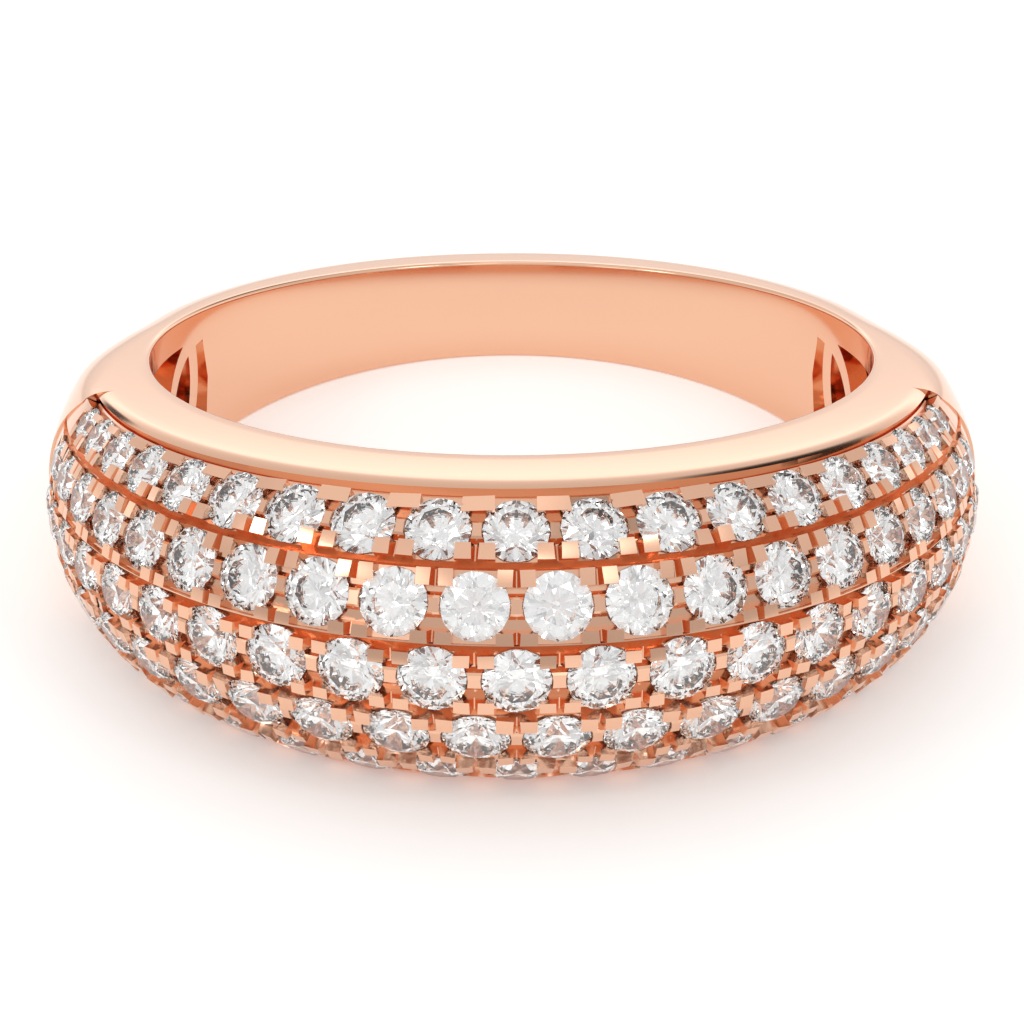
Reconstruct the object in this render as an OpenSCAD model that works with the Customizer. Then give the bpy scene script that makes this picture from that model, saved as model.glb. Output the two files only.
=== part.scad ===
// Dome ring with five rows of small round stones, lying on one of its flat sides.
// The band is worked out about the finger hole, whose axis is Z, with the stones towards -Y.
// It is then laid down: one flat side meets Z = 0, and the origin is under the middle of its box.

/* [Finger hole] */
// Inside diameter of the ring
finger_d = 17; // [16.8:0.1:17.2]

/* [Band] */
// Width of the band halfway between its front and its back
mid_w = 4.38; // [4.3:0.01:4.5]
// Angle that each flat side makes with the middle plane
taper = 5.66; // [5.5:0.01:5.8]
// Radius of the dome, seen along the finger
dome_r = 10.68; // [10.64:0.01:10.75]
// Distance of the dome's centre in front of the finger's centre
dome_shift = 2.1; // [2.05:0.01:2.15]
// Radius of the dome's curve across the band
dome_curve = 3.57; // [3.54:0.01:3.6]
// Radius of the plain shank behind the dome
shank_r = 10.2; // [10.1:0.05:10.4]
// Radius of the shank's curve across the band
shank_curve = 2.4; // [2.2:0.05:2.5]

/* [Hollow behind the stones] */
// Width of the rim left on each side of the hollow
hollow_rim = 0.73; // [0.7:0.01:0.9]
// Angle from the front to each end of the hollow
hollow_end = 113.3; // [112:0.1:114]
// Half the angle of the solid bridge that parts the hollow in two at the front
bridge_angle = 20; // [18:1:25]
// Depth of the hollow at its ends
hollow_depth = 0.85; // [0.7:0.05:0.9]
// Thickness of metal left behind the dome's surface
dome_wall = 1.5; // [1.4:0.05:1.6]
// Width of the two ribs that meet in an arch near each end
rib_w = 0.42; // [0.36:0.01:0.46]
// Depth of those ribs
rib_depth = 0.5; // [0.4:0.05:0.6]

/* [Stones] */
// Depth of a stone's widest part below the dome's surface
stone_sink = 0.09; // [0.08:0.01:0.11]
// Width of a stone's flat top as a share of its diameter
table_share = 0.56; // [0.53:0.01:0.6]
// Height of a stone above its widest part as a share of its diameter
crown_share = 0.15; // [0.12:0.01:0.16]
// Height of the kites' side corners as a share of the height above the widest part
kite_share = 0.55; // [0.5:0.01:0.6]
// Depth of a stone below its widest part as a share of its diameter
pavilion_share = 0.43; // [0.41:0.01:0.44]
// Clearance between a stone and its seat
seat_gap = 0.02; // [0.015:0.005:0.03]
// Least space between neighbours loses this much for each half step from the front
gap_loss = 0.0068; // [0.006:0.0002:0.007]

/* [Grooves between the rows] */
// Width of a groove
groove_w = 0.12; // [0.1:0.01:0.13]
// Depth of a groove
groove_depth = 0.3; // [0.25:0.05:0.35]
// Angle about the dome's centre at which the grooves end
groove_end = 80; // [79:1:81]

/* [Hidden] */

finger_r = finger_d / 2;
slope = tan(taper);
ring_c = dome_r - dome_curve;
// Longer than any radius here, for cutters that run past the band
far = 20;
// How far a shorter cutter runs past what it cuts
over = 1;

// The two ribs at one end of the hollow, one line each. They are laid out on the radius at
// rib_angle from the front, and start at rib_start. Columns: how far the middle of the rib's
// hoop is across from that radius and up from it, and the hoop's own radius.
rib_angle = -105;
rib_start = 95;
RIB_ACROSS = 0;
RIB_UP = 1;
RIB_HOOP = 2;
ribs = [
    [-1.26, -0.91, 2.31],
    [2.1, 0.63, 2.78]
];

// The rows, one line each. Columns: height as a share of the half width at the finger wall,
// angle of a half step at the front, its loss with the cube of the step, space between
// neighbours at the front, number of half steps from the front to the last stone.
ROW_SHARE = 0;
ROW_STEP = 1;
ROW_LOSS = 2;
ROW_GAP = 3;
ROW_LAST = 4;
rows = [
    [0.9, 4.72, 0.00207, 0.21, 18],
    [0.494, 4.53, 0.00146, 0.24, 19],
    [0, 4.53, 0.00146, 0.28, 20],
    [-0.494, 4.53, 0.00146, 0.24, 19],
    [-0.9, 4.72, 0.00207, 0.21, 18]
];
// Height of each groove as a share of the half width
grooves = [0.69, 0.245, -0.245, -0.69];

// The ring on its side: how far its middle is above the surface, and the ends of its box
lift = mid_w / 2 * cos(taper);
widest_d = stone_d(rows[2], 0);
front_y = -(dome_shift + dome_r - stone_sink + widest_d * crown_share) * cos(taper)
    - widest_d * table_share / 2 * sin(taper);
back_y = (shank_r - shank_curve) * cos(taper) + shank_curve;

// Half width of the band at the finger wall, at an angle from the front
function half_w(a) = mid_w / 2 + slope * finger_r * cos(a);

// Angle about the dome's centre of the stone at half step j
function dome_angle(row, j) = row[ROW_STEP] * j - row[ROW_LOSS] * pow(j, 3);

// Angle about the finger's centre of a point at an angle about the dome's centre
function finger_angle(a) = atan2(dome_r * sin(a), dome_shift + dome_r * cos(a));

// Angle across the dome of a share of the half width
function cross_angle(share, a) = asin(share * half_w(finger_angle(a)) / dome_curve);

// Distance of a stone from the dome's axis
function stone_reach(cross) = ring_c + (dome_curve - stone_sink) * cos(cross);

// Diameter of the stone at half step j: its share of the row's length less the space
function stone_d(row, j) =
    let (
        a = dome_angle(row, j),
        step = 2 * (row[ROW_STEP] - 3 * row[ROW_LOSS] * j * j),
        reach = stone_reach(cross_angle(row[ROW_SHARE], a))
    )
    reach * step * PI / 180 - row[ROW_GAP] + gap_loss * abs(j);

// Corners of a ring of points, n round, at radius r and height z, turned by a
function corners(n, r, z, a) = [for (i = [0:n - 1]) [r * cos(a + i * 360 / n), r * sin(a + i * 360 / n), z]];

// Puts its children at half step j of a row, with Z out of the dome
module on_dome(row, j) {
    a = dome_angle(row, j);
    cross = cross_angle(row[ROW_SHARE], a);
    translate([0, -dome_shift, 0])
    rotate([0, 0, a])
    translate([0, -stone_reach(cross), (dome_curve - stone_sink) * sin(cross)])
    rotate([90 - cross, 0, 0])
    children();
}

// One round stone of diameter d, its widest part at Z = 0: a table with eight star facets,
// eight kites and sixteen small facets round it, and a sixteen-sided point below
module brilliant(d) {
    table_r = d * table_share / 2;
    mid_r = d * (0.5 + table_share / 2) / 2;
    crown_h = d * crown_share;
    points = concat(
        corners(8, table_r, crown_h, 0),
        corners(8, mid_r, crown_h * kite_share, 22.5),
        corners(16, d / 2, 0, 0),
        [[0, 0, -d * pavilion_share]]
    );
    table = [[for (i = [7:-1:0]) i]];
    stars = [for (i = [0:7]) [i, (i + 1) % 8, 8 + i]];
    kites_up = [for (i = [0:7]) [i, 8 + i, 8 + (i + 7) % 8]];
    kites_down = [for (i = [0:7]) [8 + (i + 7) % 8, 8 + i, 16 + 2 * i]];
    halves_left = [for (i = [0:7]) [8 + i, 17 + 2 * i, 16 + 2 * i]];
    halves_right = [for (i = [0:7]) [8 + i, 16 + (2 * i + 2) % 16, 17 + 2 * i]];
    point = [for (i = [0:15]) [16 + i, 16 + (i + 1) % 16, 32]];
    polyhedron(points, concat(table, stars, kites_up, kites_down, halves_left, halves_right, point));
}

// The drilled hole that a stone of diameter d sits in
module seat(d) {
    depth = d * pavilion_share + seat_gap;
    translate([0, 0, -depth])
    cylinder(h = depth + over, r = d / 2 + seat_gap, $fn = 48);
}

// Everything between two planes that rise towards the front, at a share of the half width
module wedge(low, high, inset) {
    back = mid_w / 2 - slope * far;
    front = mid_w / 2 + slope * far;
    rotate([90, 0, 90])
    linear_extrude(height = 2 * far, center = true)
    polygon([
        [far, low * back + inset],
        [far, high * back - inset],
        [-far, high * front - inset],
        [-far, low * front + inset]
    ]);
}

// A ring of round section about the dome's centre
module dome_ring(section) {
    translate([0, -dome_shift, 0])
    rotate_extrude($fn = 180)
    translate([ring_c, 0])
    circle(r = section, $fn = 96);
}

// A ring of round section about the finger's centre
module shank_ring() {
    rotate_extrude($fn = 180)
    translate([shank_r - shank_curve, 0])
    circle(r = shank_curve, $fn = 96);
}

// All that lies behind a V from a centre, whose arms stand at an angle from the front
module behind(centre, angle) {
    translate([0, centre, -far])
    linear_extrude(height = 2 * far)
    polygon([
        [0, 0],
        [2 * far * sin(angle), -2 * far * cos(angle)],
        [0, 3 * far],
        [-2 * far * sin(angle), -2 * far * cos(angle)]
    ]);
}

// The long hollow behind the stones, open to the finger hole, in two parts beside the bridge
module hollow() {
    difference() {
        intersection() {
            union() {
                cylinder(h = 2 * far, r = finger_r + hollow_depth, center = true, $fn = 180);
                dome_ring(dome_curve - dome_wall);
            }
            wedge(-1, 1, hollow_rim);
        }
        behind(0, hollow_end);
        rotate([0, 0, 180])
        behind(0, 180 - bridge_angle);
    }
}

// One rib: part of a hoop, seen along the finger's radius
module rib(line) {
    intersection() {
        rotate([90, 0, rib_angle])
        translate([line[RIB_ACROSS], line[RIB_UP], 0])
        difference() {
            cylinder(h = far, r = line[RIB_HOOP] + rib_w / 2, $fn = 96);
            translate([0, 0, -over])
            cylinder(h = far + 2 * over, r = line[RIB_HOOP] - rib_w / 2, $fn = 96);
        }
        cylinder(h = 2 * far, r = finger_r + rib_depth, center = true, $fn = 180);
        behind(0, rib_start);
    }
}

// The two ribs at one end of the hollow, which meet in a pointed arch
module rib_pair() {
    for (line = ribs) {
        rib(line);
    }
}

// Lays its children, built about the finger hole, down on one flat side
module laid_down() {
    translate([0, -(front_y + back_y) / 2, lift])
    rotate([-taper, 0, 0])
    children();
}

// The metal: shank, rims and setting in one casting
module band() {
    color([0.93, 0.7, 0.58])
    laid_down()
    difference() {
        intersection() {
            union() {
                dome_ring(dome_curve);
                shank_ring();
            }
            wedge(-1, 1, 0);
        }
        cylinder(h = 2 * far, r = finger_r, center = true, $fn = 180);
        difference() {
            hollow();
            rib_pair();
            mirror([1, 0, 0])
            rib_pair();
        }
        difference() {
            for (share = grooves) {
                wedge(share, share, -groove_w / 2);
            }
            dome_ring(dome_curve - groove_depth);
            behind(-dome_shift, groove_end);
        }
        for (row = rows) {
            for (j = [-row[ROW_LAST]:2:row[ROW_LAST]]) {
                on_dome(row, j)
                seat(stone_d(row, j));
            }
        }
    }
}

// The stones, each loose in its own seat
module stones() {
    color([0.95, 0.96, 0.98])
    laid_down()
    for (row = rows) {
        for (j = [-row[ROW_LAST]:2:row[ROW_LAST]]) {
            on_dome(row, j)
            brilliant(stone_d(row, j));
        }
    }
}

band();
stones();
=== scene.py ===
"""Looks of a dome ring with five rows of small stones, lying on one of its flat sides.

The ring is worked out in millimetres about its finger hole, as its solids are.
It is laid down in the frame last.
"""

import logging
import random
from collections.abc import Callable
from dataclasses import dataclass
from enum import Enum
from math import asin, atan2, copysign, cos, degrees, hypot, pi, radians, sin, sqrt, tan

import bmesh
import bpy
from bpy.types import Material, Node, NodeTree, Object
from mathutils import Euler, Matrix, Vector


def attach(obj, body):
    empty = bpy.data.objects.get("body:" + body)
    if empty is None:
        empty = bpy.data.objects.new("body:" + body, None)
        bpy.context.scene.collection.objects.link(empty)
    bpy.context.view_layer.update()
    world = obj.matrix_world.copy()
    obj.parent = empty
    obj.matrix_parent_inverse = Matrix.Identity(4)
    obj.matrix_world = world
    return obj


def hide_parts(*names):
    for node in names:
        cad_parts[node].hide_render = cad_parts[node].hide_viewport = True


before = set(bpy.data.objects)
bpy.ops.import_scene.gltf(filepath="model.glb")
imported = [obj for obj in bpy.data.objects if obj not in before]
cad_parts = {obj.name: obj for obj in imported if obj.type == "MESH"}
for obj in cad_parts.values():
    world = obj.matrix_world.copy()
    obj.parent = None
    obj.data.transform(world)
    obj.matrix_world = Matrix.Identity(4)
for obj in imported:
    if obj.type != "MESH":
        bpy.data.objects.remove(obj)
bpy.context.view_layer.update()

log = logging.getLogger("dome_ring")

MM = 0.001
# Corners nearer than this are one: of a cutter, and of a piece after its cuts
MERGE, MERGE_CUT = 1e-5, 1e-4
Face = tuple[int, ...]
Pair = tuple[float, float]
Triple = tuple[float, float, float]
Profile = list[Pair]
ProfileAt = Callable[[float], Profile]


class Join(Enum):
    """What is done with two closed meshes."""

    CUT = "DIFFERENCE"
    ADD = "UNION"


@dataclass(frozen=True)
class Row:
    """One row of stones: its height share, half step, loss, gap and last half step."""

    share: float
    step: float
    loss: float
    gap: float
    last: int

    def angle(self, j: float) -> float:
        """Angle about the dome's centre at a half step."""
        return self.step * j - self.loss * j**3

    def pace(self, j: float) -> float:
        """Angle that one half step takes there."""
        return self.step - 3 * self.loss * j * j


@dataclass(frozen=True)
class Spot:
    """Where one stone sits: half step, place, directions, diameter and the pitch there."""

    row: int
    at: Vector
    along: Vector
    across: Vector
    out: Vector
    d: float
    pitch: float
    narrowing: float

    def turn(self) -> Euler:
        """The turn that takes Z to the way out of the dome."""
        return Matrix((self.along, self.across, self.out)).transposed().to_euler()

    def point(self, u: float, v: float, h: float) -> Vector:
        """A place in the stone's own directions, from its widest part."""
        return self.at + self.along * u + self.across * v + self.out * h


@dataclass(frozen=True)
class RingPlan:
    """Sizes of the whole ring in millimetres and degrees, the same as those of the solids."""

    finger_r: float = 8.5
    mid_w: float = 4.38
    taper: float = 5.66
    dome_r: float = 10.68
    dome_shift: float = 2.1
    dome_curve: float = 3.57
    shank_r: float = 10.2
    shank_curve: float = 2.4
    hollow_rim: float = 0.73
    hollow_end: float = 113.3
    bridge: float = 20.0
    hollow_depth: float = 0.85
    dome_wall: float = 1.5
    sink: float = 0.09
    table_share: float = 0.56
    crown_share: float = 0.15
    gap_loss: float = 0.0068
    field_end: float = 85.2
    field_bow: float = 0.0033
    crest_front: float = 0.12
    crest_swell: float = 0.06
    crest_fall: float = 0.17
    crest_span: float = 80.0
    rows: tuple[Row, ...] = (
        Row(0.9, 4.72, 0.00207, 0.21, 18),
        Row(0.494, 4.53, 0.00146, 0.24, 19),
        Row(0.0, 4.53, 0.00146, 0.28, 20),
        Row(-0.494, 4.53, 0.00146, 0.24, 19),
        Row(-0.9, 4.72, 0.00207, 0.21, 18),
    )

    @property
    def slope(self) -> float:
        """Rise of a flat side for each millimetre towards the front."""
        return tan(radians(self.taper))

    @property
    def ring_c(self) -> float:
        """Radius of the circle on which the dome's curve is centred."""
        return self.dome_r - self.dome_curve

    def half_w(self, angle: float) -> float:
        """Half width of the band at the finger wall, at an angle from the front."""
        return self.mid_w / 2 + self.slope * self.finger_r * cos(radians(angle))

    def finger_angle(self, a: float, reach: float | None = None) -> float:
        """Angle about the finger's centre of a place on the dome, or at a reach from its axis."""
        r, t = reach or self.dome_r, radians(a)
        return degrees(atan2(r * sin(t), self.dome_shift + r * cos(t)))

    def narrowing(self, a: float) -> float:
        """Width of the band at an angle about the dome's centre, as a share of the front's."""
        return self.half_w(self.finger_angle(a)) / self.half_w(0)

    def cross(self, share: float, a: float) -> float:
        """Angle across the dome of a share of the half width."""
        return degrees(asin(share * self.half_w(self.finger_angle(a)) / self.dome_curve))

    def on_dome(self, a: float, cross: float, h: float) -> Vector:
        """A place on the dome.

        Args:
            a: Angle about the dome's centre, from the front.
            cross: Angle across the dome, from its middle.
            h: Height above the dome's surface.

        Returns:
            The place in millimetres about the finger hole.
        """
        t, c = radians(a), radians(cross)
        reach = self.ring_c + (self.dome_curve + h) * cos(c)
        z = (self.dome_curve + h) * sin(c)
        return Vector((reach * sin(t), -self.dome_shift - reach * cos(t), z))

    def dome_radius(self, theta: float, z: float, depth: float = 0.0) -> float:
        """Distance from the finger's centre of a place on the dome or below its surface.

        Args:
            theta: Angle from the front.
            z: Height of the place.
            depth: How far it lies below the surface.

        Returns:
            The distance in millimetres.
        """
        t, curve = radians(theta), self.dome_curve - depth
        reach = self.ring_c + sqrt(max(curve**2 - z * z, 0.0))
        ahead, aside = self.dome_shift * cos(t), self.dome_shift * sin(t)
        return ahead + sqrt(reach**2 - aside**2)

    def rim_cross(self, a: float) -> float:
        """Angle across the dome at which its surface meets the flat side.

        Args:
            a: Angle about the dome's centre.

        Returns:
            The angle, found by going back and forth between the two.
        """
        t, cross = radians(a), 60.0
        for _ in range(20):
            reach = self.ring_c + self.dome_curve * cos(radians(cross))
            front = self.dome_shift + reach * cos(t)
            z = self.mid_w / 2 + self.slope * front
            cross = degrees(asin(min(z / self.dome_curve, 0.999)))
        return cross

    def growth(self, row: Row, a: float) -> float:
        """Pitch of a row at a place, as a share of the front's.

        Args:
            row: The row.
            a: Angle about the dome's centre.

        Returns:
            The share, from the half step that lies at the angle.
        """
        j = a / row.step
        for _ in range(6):
            j -= (row.angle(j) - a) / row.pace(j)
        return 1 - 3 * row.loss * j * j / row.step

    def end_angle(self, cross: float) -> float:
        """Angle about the dome's centre at which the field of stones ends."""
        return self.field_end - self.field_bow * cross * cross

    def crest(self, a: float) -> float:
        """Height of the prongs' tops above the dome's surface."""
        swell = self.crest_swell * sin(2 * radians(abs(a)))
        return self.crest_front + swell - self.crest_fall * abs(a / self.crest_span) ** 3

    def height(self, place: Vector) -> Pair:
        """Angle about the dome's centre of a place, and its height above the dome's surface."""
        a = degrees(atan2(place.x, -place.y - self.dome_shift))
        reach = hypot(place.x, place.y + self.dome_shift)
        return a, hypot(reach - self.ring_c, place.z) - self.dome_curve

    def spot(self, index: int, j: int, h: float) -> Spot:
        """The place at a half step of a row.

        Args:
            index: Number of the row, from the top.
            j: The half step, from the front.
            h: Height above the dome's surface.

        Returns:
            The place, with the size that a stone has there.
        """
        row = self.rows[index]
        a = row.angle(j)
        cross = self.cross(row.share, a)
        c = radians(cross)
        reach = self.ring_c + (self.dome_curve - self.sink) * cos(c)
        pitch = reach * radians(2 * row.pace(j))
        turn = Matrix.Rotation(radians(a), 3, "Z")
        return Spot(
            row=index,
            at=self.on_dome(a, cross, h),
            along=turn @ Vector((1, 0, 0)),
            across=turn @ Vector((0, sin(c), cos(c))),
            out=turn @ Vector((0, -cos(c), sin(c))),
            d=pitch - row.gap + self.gap_loss * abs(j),
            pitch=pitch,
            narrowing=self.narrowing(a),
        )

    def spots(self, gaps: bool = False) -> list[Spot]:
        """The place of every stone, or of every gap beside one.

        Args:
            gaps: Whether the gaps are asked for.

        Returns:
            The places, row by row.
        """
        found, h = [], 0.0 if gaps else -self.sink
        for index, row in enumerate(self.rows):
            last = row.last + gaps
            found += [self.spot(index, j, h) for j in range(-last, last + 1, 2)]
        return found

    def laid_down(self) -> Matrix:
        """The move that lays the ring on its flat side, in metres.

        Returns:
            The move as one matrix.
        """
        t = radians(self.taper)
        widest = self.spot(2, 0, -self.sink).d
        front = -(self.dome_shift + self.dome_r - self.sink + widest * self.crown_share)
        front = front * cos(t) - widest * self.table_share / 2 * sin(t)
        back = (self.shank_r - self.shank_curve) * cos(t) + self.shank_curve
        lift = self.mid_w / 2 * cos(t)
        place = Matrix.Translation((0, -(front + back) / 2, lift))
        return Matrix.Scale(MM, 4) @ place @ Matrix.Rotation(-t, 4, "X")


PLAN = RingPlan()


def ease(t: float) -> float:
    """A smooth step from 0 to 1."""
    t = min(max(t, 0.0), 1.0)
    return t * t * (3 - 2 * t)


def bend(start: Vector, corner: Vector, end: Vector, t: float) -> Vector:
    """A place on the curve that leaves its start for the corner and ends coming from it."""
    return start * (1 - t) ** 2 + corner * (2 * t * (1 - t)) + end * t * t


def polar(theta: float, rho: float, z: float) -> Vector:
    """A place at an angle from the front and a distance from the finger's centre."""
    t = radians(theta)
    return Vector((rho * sin(t), -rho * cos(t), z))


def ring(count: int, r: float, z: float, turn: float = 0.0) -> list[Vector]:
    """Points at even steps round the Z axis, the first one at an angle."""
    turns = [radians(turn + 360 * i / count) for i in range(count)]
    return [Vector((r * cos(t), r * sin(t), z)) for t in turns]


def make_object(name: str, points: list[Vector], faces: list[Face]) -> Object:
    """Makes a mesh.

    Args:
        name: Name of the object.
        points: Corners, in millimetres about the finger hole.
        faces: Faces as numbers of corners.

    Returns:
        The new object, linked to the scene.
    """
    mesh = bpy.data.meshes.new(name)
    mesh.from_pydata([tuple(p) for p in points], [], faces)
    mesh.update()
    made = bpy.data.objects.new(name, mesh)
    bpy.context.scene.collection.objects.link(made)
    return made


def block(name: str, low: list[Vector], rise: Vector) -> Object:
    """Makes a block from four corners.

    Args:
        name: Name of the object.
        low: The four corners in order.
        rise: The way from each of them to the corner above.

    Returns:
        The block as a closed mesh.
    """
    faces = [(3, 2, 1, 0), (4, 5, 6, 7)]
    faces += [(i, (i + 1) % 4, 4 + (i + 1) % 4, 4 + i) for i in range(4)]
    return make_object(name, low + [v + rise for v in low], faces)


def sweep(name: str, sections: list[list[Vector]], looped: bool = False) -> Object:
    """Joins sections of equally many points into a closed bar or a closed loop.

    Args:
        name: Name of the object.
        sections: The sections in order, each a ring of points.
        looped: Whether the last section meets the first.

    Returns:
        The bar or loop as a closed mesh.
    """
    n, m = len(sections[0]), len(sections)
    points = [p for section in sections for p in section]
    faces = []
    for k in range(m if looped else m - 1):
        a, b = k * n, ((k + 1) % m) * n
        faces += [(a + i, a + (i + 1) % n, b + (i + 1) % n, b + i) for i in range(n)]
    if not looped:
        faces.append(tuple(range(n)))
        faces.append(tuple(reversed(range((m - 1) * n, m * n))))
    return make_object(name, points, faces)


def put_right(piece: Object, merge: float = MERGE) -> None:
    """Merges corners that coincide and turns all faces outwards.

    Args:
        piece: The object to put right.
        merge: Distance below which corners are one, in millimetres.
    """
    work = bmesh.new()
    work.from_mesh(piece.data)
    bmesh.ops.remove_doubles(work, verts=work.verts, dist=merge)
    bmesh.ops.recalc_face_normals(work, faces=work.faces)
    work.to_mesh(piece.data)
    work.free()


def bake(piece: Object) -> None:
    """Turns an object and its modifiers into a plain mesh.

    Args:
        piece: The object.
    """
    graph, old = bpy.context.evaluated_depsgraph_get(), piece.data
    piece.data = bpy.data.meshes.new_from_object(piece.evaluated_get(graph))
    piece.modifiers.clear()
    bpy.data.meshes.remove(old)


def cut(piece: Object, cutter: Object, how: Join = Join.CUT) -> None:
    """Cuts one closed mesh from another, or joins them, and removes the cutter.

    Args:
        piece: The object that is cut.
        cutter: The closed mesh that cuts.
        how: What is done with the two.
    """
    put_right(cutter)
    change = piece.modifiers.new("cut", "BOOLEAN")
    change.operation = how.value
    change.solver = "MANIFOLD"
    change.object = cutter
    bake(piece)
    bpy.data.meshes.remove(cutter.data)


def dress(piece: Object, finish: Material, sharp: float) -> None:
    """Gives a piece its finish and smooth shading, with edges above an angle kept sharp.

    Args:
        piece: The object.
        finish: Its only material.
        sharp: The angle in degrees.
    """
    piece.data.materials.clear()
    piece.data.materials.append(finish)
    piece.data.shade_smooth()
    piece.data.set_sharp_from_angle(angle=radians(sharp))


def lay_down(piece: Object, node: str) -> None:
    """Moves a finished mesh to its place in the frame and hands it to the frame.

    Args:
        piece: The object, still in millimetres about the finger hole.
        node: Solid that the object stands for.
    """
    piece.data.transform(PLAN.laid_down())
    piece.data.update()
    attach(piece, "root")
    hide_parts(node)
    log.info("%s: %d faces", piece.name, len(piece.data.polygons))


def add_node(
    tree: NodeTree, kind: str, values: dict[str | int, object] | None = None, **settings: str
) -> Node:
    """Adds a node to a tree.

    Args:
        tree: The tree.
        kind: Type of the node.
        values: What its inputs are set to.
        **settings: What its own properties are set to.

    Returns:
        The new node.
    """
    node = tree.nodes.new(kind)
    for label, setting in settings.items():
        setattr(node, label, setting)
    for socket, value in (values or {}).items():
        node.inputs[socket].default_value = value
    return node


def wire(tree: NodeTree, *links: tuple) -> None:
    """Links nodes of a tree.

    Args:
        tree: The tree.
        *links: For each link a node, its output, the next node and its input.
    """
    for source, output, target, into in links:
        tree.links.new(source.outputs[output], target.inputs[into])


def new_material(name: str, values: dict[str, object]) -> tuple[Material, Node]:
    """Makes a material.

    Args:
        name: Name of the material.
        values: What its shader's inputs are set to.

    Returns:
        The material and its shader.
    """
    material = bpy.data.materials.new(name)
    material.use_nodes = True
    shader = material.node_tree.nodes["Principled BSDF"]
    for socket, value in values.items():
        shader.inputs[socket].default_value = value
    return material, shader


@dataclass(frozen=True)
class PointField:
    """Places at which one shape is repeated by a tree of nodes."""

    name: str
    shape: Object
    turn_limit: float = 0.0
    seed: int = 7

    def tree(self) -> NodeTree:
        """Builds the tree: the shape on every point, with its own turn and stretch.

        Returns:
            The tree, with its sizes as inputs.
        """
        tree = bpy.data.node_groups.new(self.name + "_tree", "GeometryNodeTree")
        for label, kind in (
            ("Points", "NodeSocketGeometry"),
            ("Shape", "NodeSocketObject"),
            ("Turn Limit", "NodeSocketFloat"),
            ("Seed", "NodeSocketInt"),
            ("Finish", "NodeSocketMaterial"),
        ):
            tree.interface.new_socket(label, in_out="INPUT", socket_type=kind)
        tree.interface.new_socket("Pieces", in_out="OUTPUT", socket_type="NodeSocketGeometry")
        given, result = add_node(tree, "NodeGroupInput"), add_node(tree, "NodeGroupOutput")
        shape = add_node(tree, "GeometryNodeObjectInfo")
        turn, stretch = (
            add_node(
                tree, "GeometryNodeInputNamedAttribute", {"Name": label}, data_type="FLOAT_VECTOR"
            )
            for label in ("turn", "stretch")
        )
        as_turn = add_node(tree, "FunctionNodeEulerToRotation")
        chance = add_node(tree, "FunctionNodeRandomValue")
        own = add_node(tree, "ShaderNodeCombineXYZ")
        own_turn = add_node(tree, "FunctionNodeEulerToRotation")
        both = add_node(tree, "FunctionNodeRotateRotation", rotation_space="LOCAL")
        place = add_node(tree, "GeometryNodeInstanceOnPoints")
        real = add_node(tree, "GeometryNodeRealizeInstances")
        coat = add_node(tree, "GeometryNodeSetMaterial")
        wire(
            tree,
            (given, "Shape", shape, "Object"),
            (turn, "Attribute", as_turn, "Euler"),
            (given, "Turn Limit", chance, 3),
            (given, "Seed", chance, "Seed"),
            (chance, 1, own, "Z"),
            (own, "Vector", own_turn, "Euler"),
            (as_turn, "Rotation", both, "Rotation"),
            (own_turn, "Rotation", both, "Rotate By"),
            (given, "Points", place, "Points"),
            (shape, "Geometry", place, "Instance"),
            (both, "Rotation", place, "Rotation"),
            (stretch, "Attribute", place, "Scale"),
            (place, "Instances", real, "Geometry"),
            (real, "Geometry", coat, "Geometry"),
            (given, "Finish", coat, "Material"),
            (coat, "Geometry", result, "Pieces"),
        )
        return tree

    def build(
        self, rows: list[tuple[Vector, Euler, Vector]], finish: Material | None = None
    ) -> Object:
        """Repeats the shape at every place and keeps the result as a plain mesh.

        Args:
            rows: Place, turn and stretch of each piece, in millimetres.
            finish: Material of the pieces, if they are seen.

        Returns:
            One object that holds all the pieces.
        """
        made = make_object(self.name, [row[0] for row in rows], [])
        for label, column in (("turn", 1), ("stretch", 2)):
            values = made.data.attributes.new(label, "FLOAT_VECTOR", "POINT")
            values.data.foreach_set("vector", [c for row in rows for c in row[column]])
        tree = self.tree()
        change = made.modifiers.new("repeat", "NODES")
        change.node_group = tree
        inputs = {s.name: s.identifier for s in tree.interface.items_tree if s.in_out == "INPUT"}
        change[inputs["Shape"]] = self.shape
        change[inputs["Turn Limit"]] = self.turn_limit
        change[inputs["Seed"]] = self.seed
        change[inputs["Finish"]] = finish
        bake(made)
        bpy.data.node_groups.remove(tree)
        bpy.data.meshes.remove(self.shape.data)
        return made


@dataclass(frozen=True)
class Finish:
    """A surface whose colour drifts faintly between two, with a noise."""

    name: str
    colour: Triple
    darker: Triple
    grain: float

    def drifting(self, values: dict[str, object], detail: float) -> tuple[Material, Node, Node]:
        """Starts a material.

        Args:
            values: What its shader's inputs are set to.
            detail: Detail of the noise.

        Returns:
            The material, its shader and its noise.
        """
        material, shader = new_material(self.name, values)
        tree = material.node_tree
        where = add_node(tree, "ShaderNodeTexCoord")
        cloud = add_node(tree, "ShaderNodeTexNoise", {"Scale": self.grain, "Detail": detail})
        ends = {"A": (*self.darker, 1.0), "B": (*self.colour, 1.0)}
        tint = add_node(tree, "ShaderNodeMix", ends, data_type="RGBA")
        wire(
            tree,
            (where, "Object", cloud, "Vector"),
            (cloud, "Fac", tint, "Factor"),
            (tint, "Result", shader, "Base Color"),
        )
        return material, shader, cloud


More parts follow.
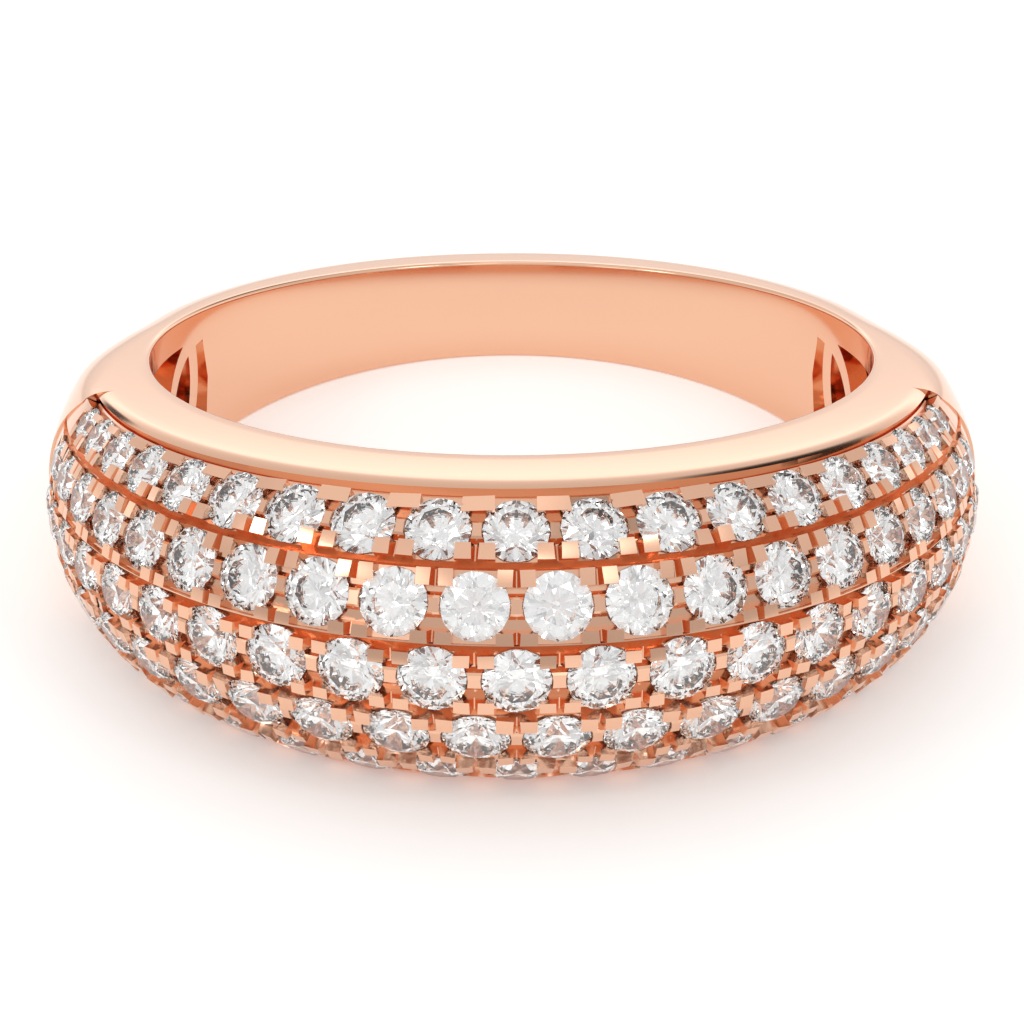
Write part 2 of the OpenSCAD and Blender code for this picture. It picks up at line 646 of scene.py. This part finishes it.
@dataclass(frozen=True)
class GoldFinish(Finish):
    """Rose gold: how sharp its reflections are and how even its surface is."""

    roughness: float
    unevenness: float
    detail: float = 3.0
    spread: Pair = (0.8, 1.2)
    bump_depth: float = 0.02

    def build(self) -> Material:
        """Makes the material.

        Returns:
            The material, with a faint drift of its roughness as well.
        """
        material, shader, cloud = self.drifting({"Metallic": 1.0}, self.detail)
        tree = material.node_tree
        low, high = (self.roughness * share for share in self.spread)
        gloss = add_node(tree, "ShaderNodeMapRange", {"To Min": low, "To Max": high})
        depth = self.bump_depth * MM
        bump = add_node(tree, "ShaderNodeBump", {"Strength": self.unevenness, "Distance": depth})
        wire(
            tree,
            (cloud, "Fac", gloss, "Value"),
            (cloud, "Fac", bump, "Height"),
            (gloss, "Result", shader, "Roughness"),
            (bump, "Normal", shader, "Normal"),
        )
        return material


@dataclass(frozen=True)
class StoneFinish(Finish):
    """Cut diamond: clear."""

    ior: float = 2.417
    detail: float = 2.0

    def build(self) -> Material:
        """Makes the material."""
        values = {"IOR": self.ior, "Roughness": 0.0, "Transmission Weight": 1.0}
        return self.drifting(values, self.detail)[0]


@dataclass
class PolishedBand:
    """The plain metal: shank, rims, hollow and the bed that the setting lies in."""

    plan: RingPlan = PLAN
    name: str = "polished_band"
    blend: float = 0.25
    inner_round: float = 0.1
    crown: float = 0.02
    crown_top: float = 0.2
    crown_width: float = 2.17
    cut_at: float = 0.35
    set_back: float = 0.22
    wall_foot: float = 0.58
    bed_depth: float = 0.95
    # Where the rounded edge starts to widen and to narrow again, and over how many degrees
    shoulder: Pair = (74.4, 22.0)
    shank: Pair = (115.0, 55.0)
    # The rounded edge's reach in front, what it gains at the shoulder and loses at the back
    soft_down: Triple = (0.25, 0.35, 0.25)
    soft_over: Triple = (0.35, 0.3, 0.3)
    nudge: float = 0.01
    bow_reach: float = 18.0
    end_reach: float = 12.0
    end_bulge: Pair = (0.7, 1.5)
    end_half: float = 1.46
    end_slope: float = 5.0
    step: float = 1.25
    outer_steps: int = 16
    roll_steps: int = 6
    side_steps: int = 5
    lip_steps: int = 4
    inner_steps: int = 14
    rib_w: float = 0.42
    rib_front: float = 8.504
    rib_back: float = 9.0
    rib_angle: float = 105.0
    rib_steps: int = 24
    ribs: tuple[tuple[float, float, float, float, float], ...] = (
        (-1.46, -1.06, 2.31, -14.0, 90.0),
        (1.9, 0.48, 2.78, 158.0, 229.0),
    )
    sharp: float = 32.0

    def outer(self, theta: float, z: float) -> float:
        """Distance of the outside from the finger's centre: dome and shank, smoothly joined.

        Args:
            theta: Angle from the front.
            z: Height of the place.

        Returns:
            The distance in millimetres.
        """
        p = self.plan
        dome = p.dome_radius(theta, z)
        shank = p.shank_r - p.shank_curve + sqrt(max(p.shank_curve**2 - z * z, 0.0))
        near = max(self.blend - abs(dome - shank), 0.0) / self.blend
        return max(dome, shank) + near * near * self.blend / 4

    def side(self, theta: float, rho: float) -> float:
        """Height of the flat side."""
        p = self.plan
        return p.mid_w / 2 + p.slope * rho * cos(radians(theta))

    def crowned(self, theta: float, rho: float, width: float) -> float:
        """Height of the softly crowned side.

        Args:
            theta: Angle from the front.
            rho: Distance from the finger's centre.
            width: Width of the side there.

        Returns:
            The height in millimetres.
        """
        share = (rho - self.plan.finger_r) / width
        past = (share - self.crown_top) / (1 - self.crown_top)
        return self.side(theta, rho) - self.crown * (width / self.crown_width * past) ** 2

    def edge(self, theta: float) -> Pair:
        """Finds where the outside meets the side.

        Args:
            theta: Angle from the front.

        Returns:
            The distance from the finger's centre and the height.
        """
        z = self.plan.half_w(theta)
        for _ in range(25):
            rho = self.outer(theta, z)
            z = self.crowned(theta, rho, rho - self.plan.finger_r)
        return rho, z

    def softness(self, theta: float) -> list[float]:
        """How far the rounded edge reaches down the outside and in over the side.

        Args:
            theta: Angle from the front.

        Returns:
            The two reaches in millimetres.
        """
        after, back = (
            ease((abs(theta) - start) / length) for start, length in (self.shoulder, self.shank)
        )
        return [
            front + gain * after - loss * back
            for front, gain, loss in (self.soft_down, self.soft_over)
        ]

    def to_dome(self, theta: float, rho: float, z: float, h: float) -> Vector:
        """The place at a height over the dome's surface at a point of it."""
        cross = degrees(asin(z / self.plan.dome_curve))
        return self.plan.on_dome(self.plan.height(polar(theta, rho, z))[0], cross, h)

    def bowed(self, theta: float, share: float) -> float:
        """Angle of a column at a share of its height: the field's ends bow back at the rims.

        Args:
            theta: Angle of the column from the front, at its middle.
            share: Height as a share of the edge's.

        Returns:
            The angle there.
        """
        p = self.plan
        end = p.finger_angle(p.end_angle(0.0))
        cross = degrees(asin(share * self.edge(theta)[1] / p.dome_curve))
        reach = p.ring_c + p.dome_curve * cos(radians(cross))
        shift = end - p.finger_angle(p.end_angle(cross), reach)
        weight = 1 - ease(abs(abs(theta) - end) / self.bow_reach)
        return theta - copysign(shift * weight, theta)

    def slant(self, theta: float, z: float, deep: bool) -> float:
        """Angle of a place at the hollow's ends: they bulge at mid height and slope inwards.

        Args:
            theta: Angle of the section from the front.
            z: Height of the place.
            deep: Whether it is on the hollow's floor.

        Returns:
            The angle there.
        """
        weight = 1 - ease(abs(abs(theta) - self.plan.hollow_end) / self.end_reach)
        least, bulge = self.end_bulge
        shift = least + bulge * (1 - min(abs(z) / self.end_half, 1.0))
        shift -= self.end_slope if deep else 0.0
        return theta + copysign(shift * weight, theta)

    def hollow_floor(self, theta: float, z: float) -> float:
        """Distance of the hollow's floor from the finger's centre.

        Args:
            theta: Angle from the front.
            z: Height of the place.

        Returns:
            The distance in millimetres.
        """
        p = self.plan
        plain = p.finger_r + p.hollow_depth
        if abs(z) >= p.dome_curve - p.dome_wall:
            return plain
        return max(plain, p.dome_radius(theta, z, p.dome_wall))

    def inside(self, theta: float, hollow: bool) -> list[Vector]:
        """The inner face of a section, from the rim's foot to the middle.

        Args:
            theta: Angle from the front.
            hollow: Whether the section lies in the hollow.

        Returns:
            The points in order.
        """
        p, steps = self.plan, self.inner_steps
        lip = self.side(theta, p.finger_r) - p.hollow_rim
        found = [polar(self.slant(theta, lip, False), p.finger_r, lip)]
        if not hollow:
            for k in range(1, steps + 3):
                z = lip * (1 - k / (steps + 2))
                found.append(polar(self.slant(theta, z, False), p.finger_r, z))
            return found
        floor = p.finger_r + p.hollow_depth
        for t, deep in ((0.5, False), (1.0, True)):
            rho = p.finger_r * (1 - t) + floor * t
            top = self.side(theta, rho) - p.hollow_rim
            found.append(polar(self.slant(theta, top, deep), rho, top))
        for k in range(1, steps + 1):
            z = top * (1 - k / steps)
            found.append(polar(self.slant(theta, z, True), self.hollow_floor(theta, z), z))
        return found

    def column(self, theta: float, bed: bool, hollow: bool) -> list[Vector]:
        """One closed section of the band.

        Args:
            theta: Angle from the front.
            bed: Whether the section lies in the field of stones, where its edge is set back.
            hollow: Whether it lies in the hollow.

        Returns:
            The points of the section, from the outer middle over the top and back.
        """
        p = self.plan
        angle = self.bowed(theta, 1.0)
        rho, z = self.edge(angle)
        width = rho - p.finger_r
        down, over = self.softness(theta)
        fall = self.outer(angle, z - self.nudge) - self.outer(angle, z)
        top = z - down * self.nudge / hypot(self.nudge, fall)
        start = polar(angle, self.outer(angle, top), top)
        corner = polar(angle, rho, z)
        if bed:
            back = rho - self.set_back
            inward = polar(angle, back, self.crowned(angle, back, width))
            start += inward - corner
            corner = inward
            over += self.set_back
        reach = rho - over
        roll = (start, corner, polar(angle, reach, self.crowned(angle, reach, width)))
        foot = bend(*roll, 0.5 * self.cut_at)
        if bed:
            top = bend(*roll, self.cut_at).z
            foot = self.to_dome(angle, self.outer(angle, top), top, -self.wall_foot)
        rise = []
        for k in range(self.outer_steps + 1):
            share = k / self.outer_steps
            turned, z = self.bowed(theta, share), share * top
            rho = self.outer(turned, z)
            deep = self.to_dome(turned, rho, z, -self.bed_depth)
            rise.append(deep if bed else polar(turned, rho, z))
        rise.append(foot)
        for k in range(self.roll_steps + 1):
            rise.append(bend(*roll, self.cut_at + (1 - self.cut_at) * k / self.roll_steps))
        inner = p.finger_r + self.inner_round
        for k in range(1, self.side_steps + 1):
            t = k / self.side_steps
            rho, turn = reach * (1 - t) + inner * t, angle * (1 - t) + theta * t
            rise.append(polar(turn, rho, self.crowned(turn, rho, width)))
        z = self.crowned(theta, p.finger_r, width)
        corner = polar(theta, p.finger_r, z)
        lip = (rise[-1], corner, polar(theta, p.finger_r, z - self.inner_round))
        rise += [bend(*lip, k / self.lip_steps) for k in range(1, self.lip_steps + 1)]
        rise += self.inside(theta, hollow)
        return rise + [Vector((q.x, q.y, -q.z)) for q in reversed(rise[1:-1])]

    def columns(self) -> list[tuple[float, bool, bool]]:
        """Angle, bed and hollow of every section, with two where either begins or ends.

        Returns:
            The sections in order.
        """
        p = self.plan
        end = p.finger_angle(p.end_angle(0.0))
        stops = [-180.0, -p.hollow_end, -end, -p.bridge, p.bridge, end, p.hollow_end, 180.0]
        found = []
        for low, high in zip(stops, stops[1:]):
            middle = abs(low + high) / 2
            bed = middle < end
            hollow = p.bridge < middle < p.hollow_end
            count = max(2, round((high - low) / self.step))
            found += [(low + (high - low) * k / count, bed, hollow) for k in range(count + 1)]
        return found[:-1]

    def rib(self, line: tuple[float, float, float, float, float], side: int) -> Object:
        """One rib of the pointed arch at an end of the hollow.

        Args:
            line: Across, up and radius of the rib's hoop, and the angles where it starts and ends.
            side: 1 for the left end, -1 for the right.

        Returns:
            The rib as a closed bar.
        """
        across, up, hoop, start, stop = line
        turn = radians(-self.rib_angle)
        out = Vector((sin(turn), -cos(turn), 0))
        along = Vector((cos(turn), sin(turn), 0))
        front, back = self.rib_front, self.rib_back
        sections = []
        for k in range(self.rib_steps + 1):
            alpha = radians(start + (stop - start) * k / self.rib_steps)
            section = []
            for width, rho in ((-1, front), (1, front), (1, back), (-1, back)):
                r = hoop + width * self.rib_w / 2
                x, z = across + r * cos(alpha), up + r * sin(alpha)
                q = out * sqrt(rho * rho - x * x) + along * x + Vector((0, 0, z))
                section.append(Vector((q.x * side, q.y, q.z)))
            sections.append(section)
        return sweep("rib", sections)

    def build(self, finish: Material) -> None:
        """Makes the band with its ribs.

        Args:
            finish: The polished metal.
        """
        sections = [self.column(*line) for line in self.columns()]
        band = sweep(self.name, sections, looped=True)
        put_right(band)
        for side in (1, -1):
            for line in self.ribs:
                cut(band, self.rib(line, side), Join.ADD)
        put_right(band, MERGE_CUT)
        dress(band, finish, self.sharp)
        lay_down(band, "band")


@dataclass
class PaveSetting:
    """The bright-cut metal round the stones: prongs, bars, grooves and seats."""

    plan: RingPlan = PLAN
    name: str = "pave_setting"
    base: float = -0.9
    above: float = 0.4
    grooves: tuple[float, ...] = (0.72, 0.23, -0.242, -0.715)
    groove: tuple[Pair, ...] = ((-0.1, -0.03), (0.0, -0.23), (0.1, -0.03))
    # The space between the prongs of each row: from and to
    bars: tuple[Pair, ...] = (
        (-0.335, 0.36), (-0.5, 0.375), (-0.395, 0.355), (-0.43, 0.4), (-0.36, 0.345),
    )
    saddle: tuple[Pair, ...] = (
        (-0.27, -0.18), (-0.19, -0.05), (-0.14, -0.02), (0.14, -0.02), (0.19, -0.05), (0.27, -0.18),
    )
    bar_floor: float = -0.18
    bar_end: float = 1.1
    rim_crest: float = 0.075
    # Shares of the room between the outer row and the rim, and heights
    trench: tuple[Pair, ...] = ((0.72, -0.02), (0.88, -0.28), (1.4, -0.28))
    trench_start: float = 0.98
    crossing_floor: float = -0.13
    front_pitch: float = 1.65
    post_half: float = 0.385
    post_reach: float = 0.74
    slot_floor: float = -0.1
    slot_half: float = 0.3
    slot_foot: float = 0.03
    slot_start: float = 0.2
    slot_reach: float = 0.76
    cutter_h: float = 0.8
    # A seat for a stone one unit across, as radii and heights: a cone, and a lip that opens
    seat_rings: tuple[Pair, ...] = (
        (0.2, -0.52), (0.506, -0.012), (0.506, 0.012), (0.53, 0.066), (0.2, 0.066),
    )
    seat_sides: int = 32
    side_room: float = 0.02
    shell_inset: float = 0.2
    shell_columns: int = 150
    shell_stations: int = 36
    line_steps: int = 60
    line_end: float = 90.0
    tilt: float = 0.12
    seed: int = 11
    top_room: float = 0.008
    prong_reach: float = 0.6
    sharp: float = 25.0

    def line(self, share: float, profile_at: ProfileAt, reach: float, name: str) -> Object:
        """A bar that follows a line of the field.

        Args:
            share: Height of the line as a share of the half width.
            profile_at: Gives the bar's section at an angle, as distances across and heights.
            reach: Angle about the dome's centre at which the bar ends.
            name: Name of the object.

        Returns:
            The bar as a closed mesh.
        """
        p, steps = self.plan, self.line_steps
        turn = degrees(1 / p.dome_curve)
        sections = []
        for k in range(-steps, steps + 1):
            a = reach * k / steps
            middle = p.cross(share, a)
            sections.append([p.on_dome(a, middle + v * turn, h) for v, h in profile_at(a)])
        return sweep(name, sections)

    def beside(self, side: int) -> Object:
        """Everything that lies outside a flat side of the band.

        Args:
            side: 1 for the upper side, -1 for the lower.

        Returns:
            The body as a closed mesh.
        """
        p = self.plan
        reach, low = 20.0, []
        for x, y in ((-reach, -reach), (reach, -reach), (reach, reach), (-reach, reach)):
            low.append(Vector((x, y, side * (p.mid_w / 2 - p.slope * y - self.side_room))))
        return block("beside", low, Vector((0, 0, 5.0 * side)))

    def shell(self) -> Object:
        """The whole field before it is cut, up to the prongs' tops.

        Returns:
            The field as a closed mesh.
        """
        p = self.plan
        columns, stations = self.shell_columns, self.shell_stations
        sections = []
        for k in range(-columns, columns + 1):
            section = []
            for side in (1, -1):
                for i in range(stations + 1):
                    share = (1 - 2 * i / stations) * side
                    a = p.end_angle(0.0) * k / columns
                    for _ in range(4):
                        cross = share * (p.rim_cross(a) - self.shell_inset)
                        a = p.end_angle(cross) * k / columns
                    h = p.crest(a) if side == 1 else self.base
                    section.append(p.on_dome(a, cross, h))
            sections.append(section)
        return sweep(self.name, sections)

    def box(self, foot: float = 1.0) -> Object:
        """A box that stands on its origin, two units wide and long and one high.

        Args:
            foot: Width of its foot as a share of its own.

        Returns:
            The box as a closed mesh.
        """
        low = [Vector((x, y, 0)) for x, y in ((-1, -1), (1, -1), (1, 1), (-1, 1))]
        box = block("box", low, Vector((0, 0, 1)))
        for v in box.data.vertices[:4]:
            v.co.x *= foot
        return box

    def cut_lines(self, piece: Object) -> None:
        """Cuts the grooves, the spaces between the prongs, the trenches and the flat sides.

        Args:
            piece: The field of metal.
        """
        p, top = self.plan, self.above
        half = self.groove[-1][0]

        def groove_at(a: float) -> Profile:
            """Section of a groove."""
            steps = [*self.groove, (half, top), (-half, top)]
            return [(v * p.narrowing(a), h) for v, h in steps]

        for share in self.grooves:
            cut(piece, self.line(share, groove_at, self.line_end, "groove"))
        for row, (low, high) in zip(p.rows, self.bars):

            def bar_at(a: float) -> Profile:
                """Section of the space between the prongs of a row."""
                steps = [(low, self.bar_floor), *self.saddle, (high, self.bar_floor)]
                return [(v * p.growth(row, a), h) for v, h in [*steps, (high, top), (low, top)]]

            end = row.angle(row.last + self.bar_end)
            cut(piece, self.line(row.share, bar_at, end, "bar"))
        first = p.rows[0]
        for side in (1, -1):

            def trench_at(a: float) -> Profile:
                """Section of the space between the outer prongs and the rim.

                Args:
                    a: Angle about the dome's centre.

                Returns:
                    Distances across and heights.
                """
                room = radians(p.rim_cross(a) - p.cross(first.share, a)) * p.dome_curve
                near = self.bars[0][1] * p.growth(first, a) * self.trench_start
                steps = [(near, self.rim_crest), (self.trench[0][0] * room, self.rim_crest)]
                steps += [(v * room, h) for v, h in self.trench]
                steps += [(self.trench[-1][0] * room, top), (near, top)]
                return [(v * side, h) for v, h in steps]

            cut(piece, self.line(first.share * side, trench_at, self.line_end, "trench"))
            cut(piece, self.beside(side))

    def cut_places(self, piece: Object) -> None:
        """Cuts the crossings that part the prongs, the seats, and the slots between prongs.

        Args:
            piece: The field of metal.
        """
        p = self.plan
        crossings, seats, slots = [], [], []
        for s in p.spots():
            half = s.pitch / 2 - self.post_half * (s.pitch / self.front_pitch)
            size = Vector((half, self.post_reach * s.narrowing, self.cutter_h))
            crossings.append((s.point(0, 0, p.sink + self.crossing_floor), s.turn(), size))
            seats.append((s.at, s.turn(), Vector((s.d, s.d, s.d))))
        for s in p.spots(gaps=True):
            grow = s.pitch / self.front_pitch
            start, stop = self.slot_start * grow, self.slot_reach * s.narrowing
            size = Vector((self.slot_half * grow, (stop - start) / 2, self.cutter_h))
            for side in (1, -1):
                if (s.row, side) not in ((0, 1), (len(p.rows) - 1, -1)):
                    place = s.point(0, (start + stop) / 2 * side, self.slot_floor)
                    slots.append((place, s.turn(), size))
        seat = sweep("seat", [ring(self.seat_sides, r, h) for r, h in self.seat_rings])
        cut(piece, PointField("crossings", self.box()).build(crossings))
        cut(piece, PointField("seats", seat).build(seats))
        cut(piece, PointField("slots", self.box(self.slot_foot)).build(slots))

    def tilt_tops(self, piece: Object) -> None:
        """Tilts the top of each prong a little its own way, as hand-cut metal is.

        Args:
            piece: The setting after it is cut.
        """
        work = bmesh.new()
        work.from_mesh(piece.data)
        heights = [self.plan.height(v.co) for v in work.verts]
        work.verts.index_update()

        def is_top(face: bmesh.types.BMFace) -> bool:
            """Whether the whole face lies at the height of the prongs' tops.

            Args:
                face: The face.

            Returns:
                True if it does.
            """
            found = [heights[v.index] for v in face.verts]
            crest = max(abs(h - self.plan.crest(a)) for a, h in found)
            rim = max(abs(h - self.rim_crest) for a, h in found)
            return min(crest, rim) < self.top_room

        left = {face for face in work.faces if is_top(face)}
        chance = random.Random(self.seed)
        for face in [f for f in work.faces if f in left]:
            if face not in left:
                continue
            left.discard(face)
            top, stack = [], [face]
            while stack:
                top.append(stack.pop())
                for edge in top[-1].edges:
                    for other in edge.link_faces:
                        if other in left:
                            left.discard(other)
                            stack.append(other)
            corners = list({v for f in top for v in f.verts})
            corners.sort(key=lambda v: v.index)
            middle = sum((v.co for v in corners), Vector()) / len(corners)
            if max((v.co - middle).length for v in corners) > self.prong_reach:
                continue
            out = sum((f.normal * f.calc_area() for f in top), Vector()).normalized()
            lean = Vector([chance.uniform(-self.tilt, self.tilt) for _ in range(3)])
            for v in corners:
                v.co += out * lean.dot(v.co - middle)
        work.to_mesh(piece.data)
        work.free()

    def build(self, finish: Material) -> None:
        """Makes the setting.

        Args:
            finish: The cut metal.
        """
        setting = self.shell()
        put_right(setting)
        self.cut_lines(setting)
        self.cut_places(setting)
        put_right(setting, MERGE_CUT)
        self.tilt_tops(setting)
        dress(setting, finish, self.sharp)
        lay_down(setting, "band")


@dataclass
class Brilliants:
    """The stones: round brilliants with a table, 32 crown facets and 24 pavilion facets."""

    plan: RingPlan = PLAN
    name: str = "brilliants"
    table_r: float = 0.28
    mid_r: float = 0.379
    crown: float = 0.15
    girdle: float = 0.01
    pavilion: float = 0.43
    lower_r: float = 0.115
    turn_limit: float = 0.785

    def shape(self) -> Object:
        """One stone, one unit across, its widest part at its origin.

        Returns:
            The stone as a closed mesh.
        """
        half, turn = 0.5, 22.5
        flat = cos(radians(turn))
        mid_z = self.crown * (half - self.mid_r * flat) / (half - self.table_r)
        main = (half - self.lower_r * flat) / half
        low_z = -self.girdle - (self.pavilion - self.girdle) * main
        points = ring(8, self.table_r, self.crown) + ring(8, self.mid_r, mid_z, turn)
        points += ring(16, half, self.girdle) + ring(16, half, -self.girdle)
        points += ring(8, self.lower_r, low_z, turn) + [Vector((0, 0, -self.pavilion))]
        mid, upper, under, lower, tip = 8, 16, 32, 48, 56
        faces = [tuple(range(mid))]
        for i in range(8):
            n, b = (i + 1) % 8, (i + 7) % 8
            faces += [
                (i, mid + i, n),
                (i, mid + b, upper + 2 * i, mid + i),
                (mid + i, upper + 2 * i, upper + 1 + 2 * i),
                (mid + i, upper + 1 + 2 * i, upper + 2 * n),
                (under + 2 * i, lower + i, under + 1 + 2 * i),
                (under + 1 + 2 * i, lower + i, under + 2 * n),
                (under + 2 * i, lower + b, tip, lower + i),
            ]
        for i in range(16):
            n = (i + 1) % 16
            faces.append((upper + i, under + i, under + n, upper + n))
        stone = make_object("stone", points, faces)
        put_right(stone)
        return stone

    def build(self, finish: Material) -> None:
        """Sets a stone in every seat.

        Args:
            finish: The cut stone.
        """
        rows = [(s.at, s.turn(), Vector((s.d, s.d, s.d))) for s in self.plan.spots()]
        stones = PointField(self.name, self.shape(), self.turn_limit).build(rows, finish)
        lay_down(stones, "stones")


@dataclass
class Studio:
    """The floor, the lights and the camera, in metres."""

    camera_at: Triple = (0.0, -0.052785, 0.03142)
    camera_down: float = 30.2
    camera_turn: float = 0.485
    lens: float = 89.8
    sensor: float = 36.0
    clip: Pair = (0.001, 10.0)
    # The floor glows: painted fill light that lightens the ring's shadow. Its cool base and warm
    # glow add up to white in the open, so where the ring shades it the shadow is painted warm.
    floor_cool_base: Triple = (0.84, 0.96, 0.97)
    floor_painted_fill: Triple = (0.36, 0.245, 0.22)
    # Where the floor starts and stops getting dimmer, and what is left of its light
    floor_fade: Triple = (0.035, 0.075, 0.78)
    floor_half: float = 0.6
    floor_z: float = -0.00002
    bounces: tuple[int, int, int] = (16, 9, 12)
    # The sky's light at angles above the floor, behind the ring and before it
    behind: tuple[Pair, ...] = (
        (-90, 1.0), (0, 0.95), (4, 1.0), (6, 1.25), (8.5, 1.75), (10, 1.5), (12.5, 1.05),
        (19, 0.87), (28, 0.8), (45, 0.75), (60, 0.75), (75, 0.85), (90, 0.9),
    )
    before: tuple[Pair, ...] = (
        (-90, 1.0), (0, 0.55), (10, 0.6), (25, 0.8), (45, 0.9), (58, 0.95), (75, 0.9), (90, 0.9),
    )
    sky_blend: float = 0.4
    # Turn from the front, angle above the floor, reach and glow of each patch of sky
    patches: tuple[tuple[float, float, float, float], ...] = (
        (155.5, 33.0, 11.0, 0.03),
        (-157.0, 12.5, 4.5, 0.05),
        (60.0, 72.0, 9.0, 0.45),
        (-130.0, 62.0, 18.0, 1.25),
        (15.0, 50.0, 7.0, 2.4),
        (-38.0, 28.0, 7.0, 2.4),
        (175.0, 68.0, 8.0, 2.2),
    )
    patch_edge: Pair = (1.25, 0.6)
    # Name, turn, angle above the floor, size, distance and glow of each lamp
    panels: tuple[tuple[str, float, float, float, float, float], ...] = (
        ("left", -62.0, 38.0, 0.035, 0.2, 5.0),
        ("right", 48.0, 55.0, 0.035, 0.2, 5.0),
    )

    def toward(self, turn: float, up: float) -> Vector:
        """The direction at an angle to the right of the front and an angle above the floor."""
        a, e = radians(turn), radians(up)
        return Vector((sin(a) * cos(e), -cos(a) * cos(e), sin(e)))

    def floor(self) -> None:
        """A wide pale floor just under the ring, with a painted fill glow, a little dimmer further
        away.
        """
        half, z = self.floor_half, self.floor_z
        corners = [(-half, -half, z), (half, -half, z), (half, half, z), (-half, half, z)]
        floor = make_object("floor", [Vector(corner) for corner in corners], [(0, 1, 2, 3)])
        material, shader = new_material(
            "pale_floor", {"Roughness": 0.9, "Specular IOR Level": 0.1, "Emission Strength": 1.0}
        )
        tree = material.node_tree
        where = add_node(tree, "ShaderNodeTexCoord")
        away = add_node(tree, "ShaderNodeVectorMath", operation="LENGTH")
        near, far, dimmed = self.floor_fade
        fade = add_node(
            tree,
            "ShaderNodeMapRange",
            {"From Min": near, "From Max": far, "To Min": 1.0, "To Max": dimmed},
            interpolation_type="SMOOTHSTEP",
        )
        wire(tree, (where, "Object", away, 0), (away, "Value", fade, "Value"))
        # Cool base and warm glow: painted fill light, with a painted warm tint in the ring's shadow
        looks = (("Base Color", self.floor_cool_base), ("Emission Color", self.floor_painted_fill))
        for into, colour in looks:
            scaled = add_node(tree, "ShaderNodeVectorMath", {0: colour}, operation="SCALE")
            wire(tree, (fade, "Result", scaled, "Scale"), (scaled, "Vector", shader, into))
        floor.data.materials.append(material)

    def sky(self) -> None:
        """A soft sky, brighter low behind the ring, with a few dark and bright patches."""
        world = bpy.data.worlds.new("sky")
        bpy.context.scene.world = world
        world.use_nodes = True
        tree = world.node_tree
        where, axes = add_node(tree, "ShaderNodeTexCoord"), add_node(tree, "ShaderNodeSeparateXYZ")
        up = add_node(tree, "ShaderNodeMapRange", {"From Min": -1.0})
        ends = {"From Min": self.sky_blend, "From Max": -self.sky_blend}
        front = add_node(tree, "ShaderNodeMapRange", ends)
        last, output = add_node(tree, "ShaderNodeMix", data_type="RGBA"), "Result"
        wire(
            tree,
            (where, "Generated", axes, "Vector"),
            (axes, "Z", up, "Value"),
            (axes, "Y", front, "Value"),
            (front, "Result", last, "Factor"),
        )
        for socket, stops in (("A", self.behind), ("B", self.before)):
            ramp = add_node(tree, "ShaderNodeValToRGB")
            steps = ramp.color_ramp.elements
            while len(steps) < len(stops):
                steps.new(0.5)
            for step, (angle, glow) in zip(steps, stops):
                step.position = (sin(radians(angle)) + 1) / 2
                step.color = (glow, glow, glow, 1.0)
            wire(tree, (up, "Result", ramp, "Fac"), (ramp, "Color", last, socket))
        for turn, height, reach, glow in self.patches:
            at = {1: self.toward(turn, height)}
            near = add_node(tree, "ShaderNodeVectorMath", at, operation="DOT_PRODUCT")
            rim, core = (cos(radians(reach * share)) for share in self.patch_edge)
            ends = {"From Min": rim, "From Max": core, "To Min": 1.0, "To Max": glow}
            patch = add_node(tree, "ShaderNodeMapRange", ends, interpolation_type="SMOOTHSTEP")
            scaled = add_node(tree, "ShaderNodeVectorMath", operation="SCALE")
            wire(
                tree,
                (where, "Generated", near, 0),
                (near, "Value", patch, "Value"),
                (last, output, scaled, 0),
                (patch, "Result", scaled, "Scale"),
            )
            last, output = scaled, "Vector"
        wire(tree, (last, output, tree.nodes["Background"], "Color"))

    def lamps(self) -> None:
        """Small soft panels that give the facets their glints."""
        for name, turn, up, size, away, glow in self.panels:
            lamp = bpy.data.lights.new(name, "AREA")
            lamp.size = size
            lamp.energy = glow * pi * size * size
            holder = bpy.data.objects.new(name, lamp)
            bpy.context.scene.collection.objects.link(holder)
            out = self.toward(turn, up)
            holder.location = out * away
            holder.rotation_mode = "QUATERNION"
            holder.rotation_quaternion = out.to_track_quat("Z", "Y")

    def camera(self) -> None:
        """The camera at the photograph's place."""
        data = bpy.data.cameras.new("camera")
        data.lens = self.lens
        data.sensor_width = self.sensor
        data.clip_start, data.clip_end = self.clip
        camera = bpy.data.objects.new("camera", data)
        bpy.context.scene.collection.objects.link(camera)
        camera.matrix_world = (
            Matrix.Rotation(radians(-self.camera_turn), 4, "Z")
            @ Matrix.Translation(self.camera_at)
            @ Matrix.Rotation(radians(90 - self.camera_down), 4, "X")
        )
        bpy.context.scene.camera = camera

    def build(self) -> None:
        """Sets up the whole studio."""
        self.floor()
        self.sky()
        self.lamps()
        self.camera()
        bpy.context.scene.view_settings.view_transform = "Standard"
        paths = bpy.context.scene.cycles
        paths.max_bounces, paths.glossy_bounces, paths.transmission_bounces = self.bounces
        log.info("studio is set")


def main() -> None:
    """Builds the ring piece by piece and then the studio."""
    logging.basicConfig(level=logging.INFO, format="%(name)s %(message)s")
    polished = GoldFinish(
        "polished_rose_gold", (0.875, 0.53, 0.365), (0.86, 0.515, 0.35), 160.0, 0.11, 0.03
    )
    cut_gold = GoldFinish(
        "cut_rose_gold", (0.865, 0.52, 0.36), (0.84, 0.49, 0.335), 900.0, 0.16, 0.1
    )
    diamond = StoneFinish("cut_diamond", (1.0, 1.0, 1.0), (0.99, 0.985, 0.98), 900.0)
    PolishedBand().build(polished.build())
    PaveSetting().build(cut_gold.build())
    Brilliants().build(diamond.build())
    Studio().build()
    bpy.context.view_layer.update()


if __name__ == "__main__":
    main()
